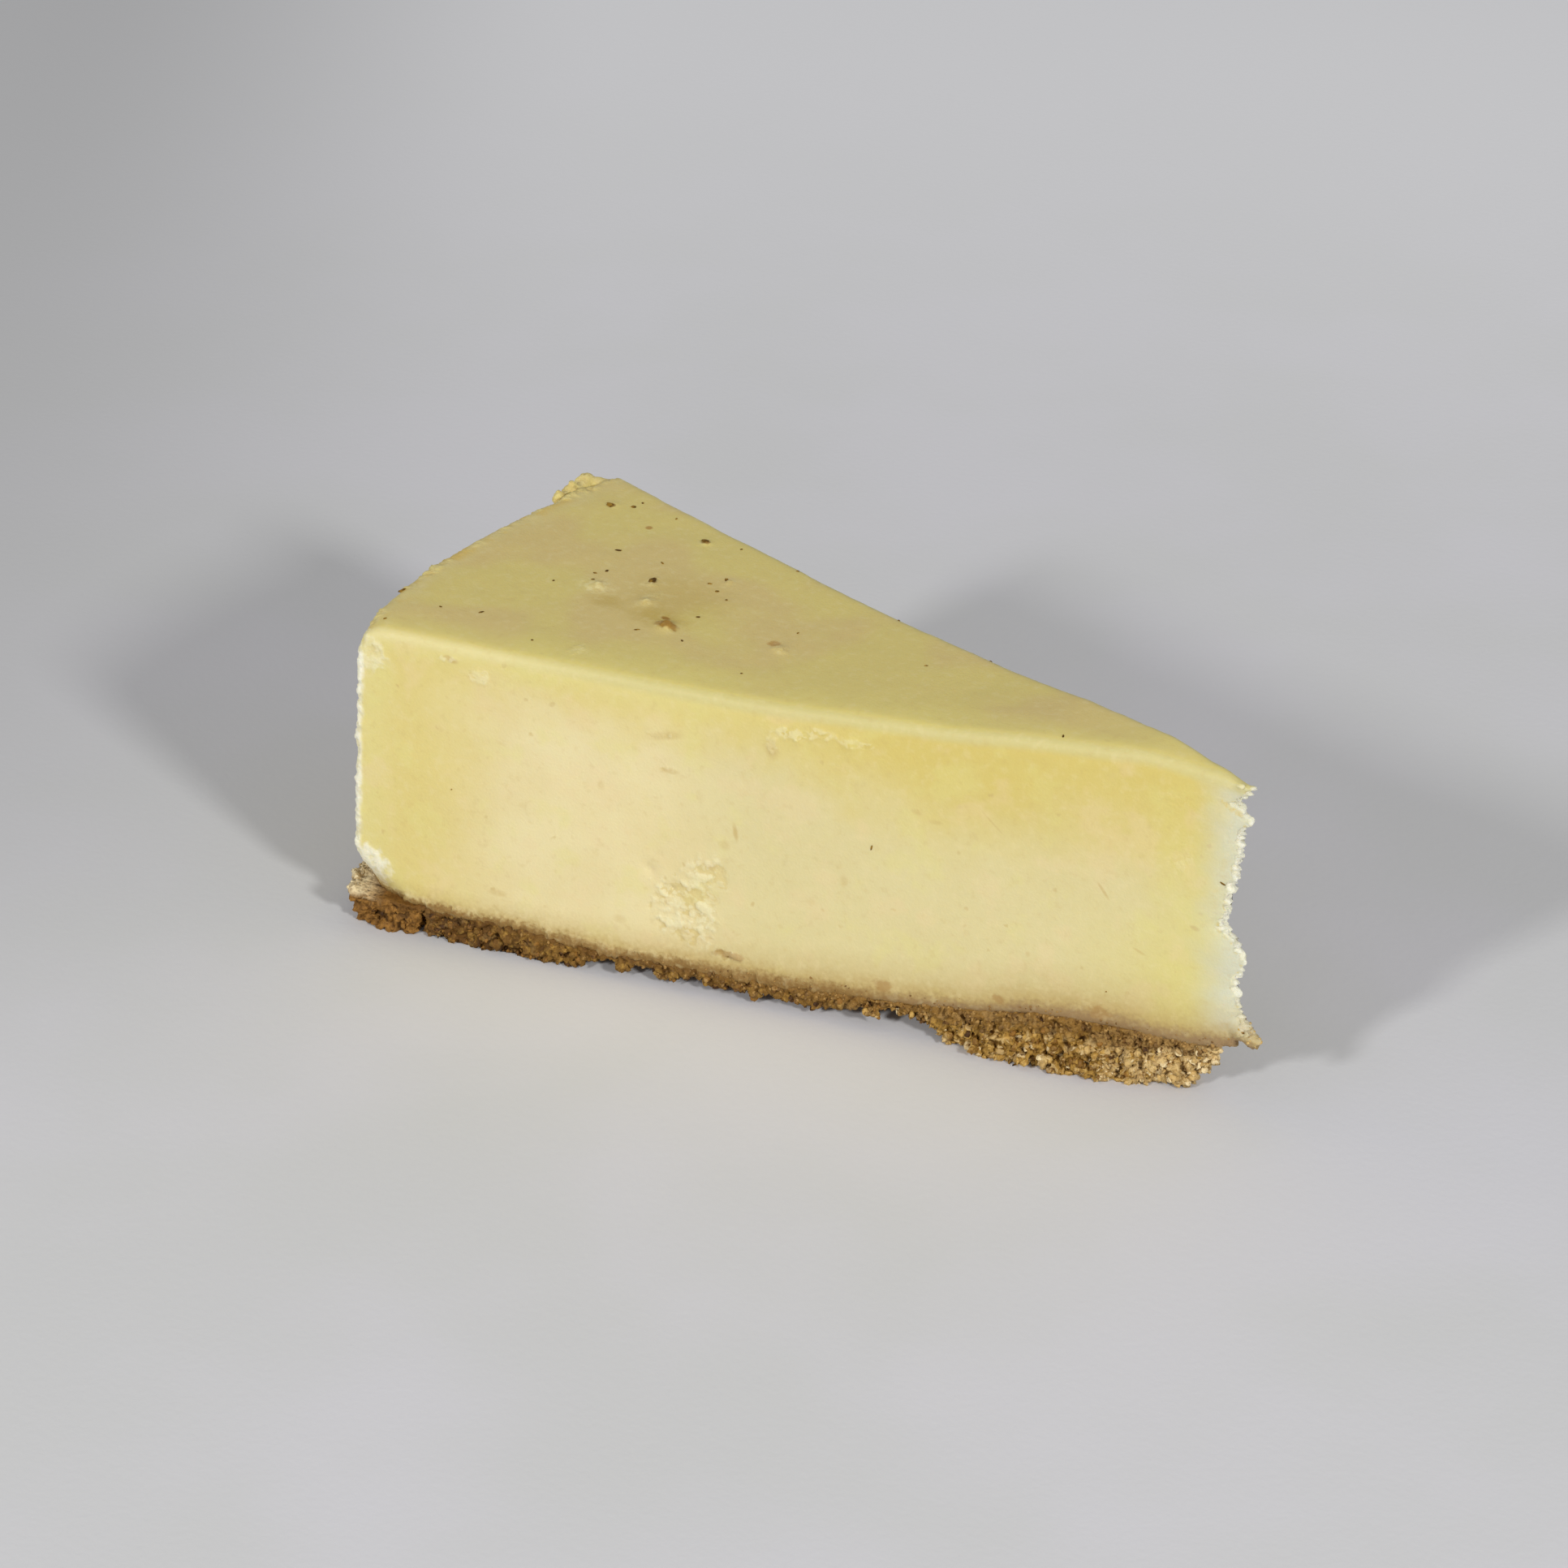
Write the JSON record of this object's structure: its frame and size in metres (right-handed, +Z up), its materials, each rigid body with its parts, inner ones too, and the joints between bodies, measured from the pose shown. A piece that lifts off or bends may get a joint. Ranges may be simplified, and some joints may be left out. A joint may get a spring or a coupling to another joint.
{
  "type": "new york cheesecake slice",
  "caption": "Wedge-shaped slice of plain baked cheesecake: a tall pale filling with a smooth top on a thin, ragged crumb crust.",
  "frame": {"origin": "middle of the slice's box in plan, at the surface that the slice rests on", "axes": "+X along the slice towards its thin end, +Y from the cut face nearer the picture's camera to the far one, +Z up"},
  "size_m": [0.1358, 0.0624, 0.0495],
  "materials": {
    "filling": "smooth matte baked cream-cheese custard, stands in for food",
    "crust": "rough pressed biscuit crumb, stands in for food"
  },
  "bodies": {
    "root": {"filling": "filling", "crust": "crust"}
  },
  "joints": []
}
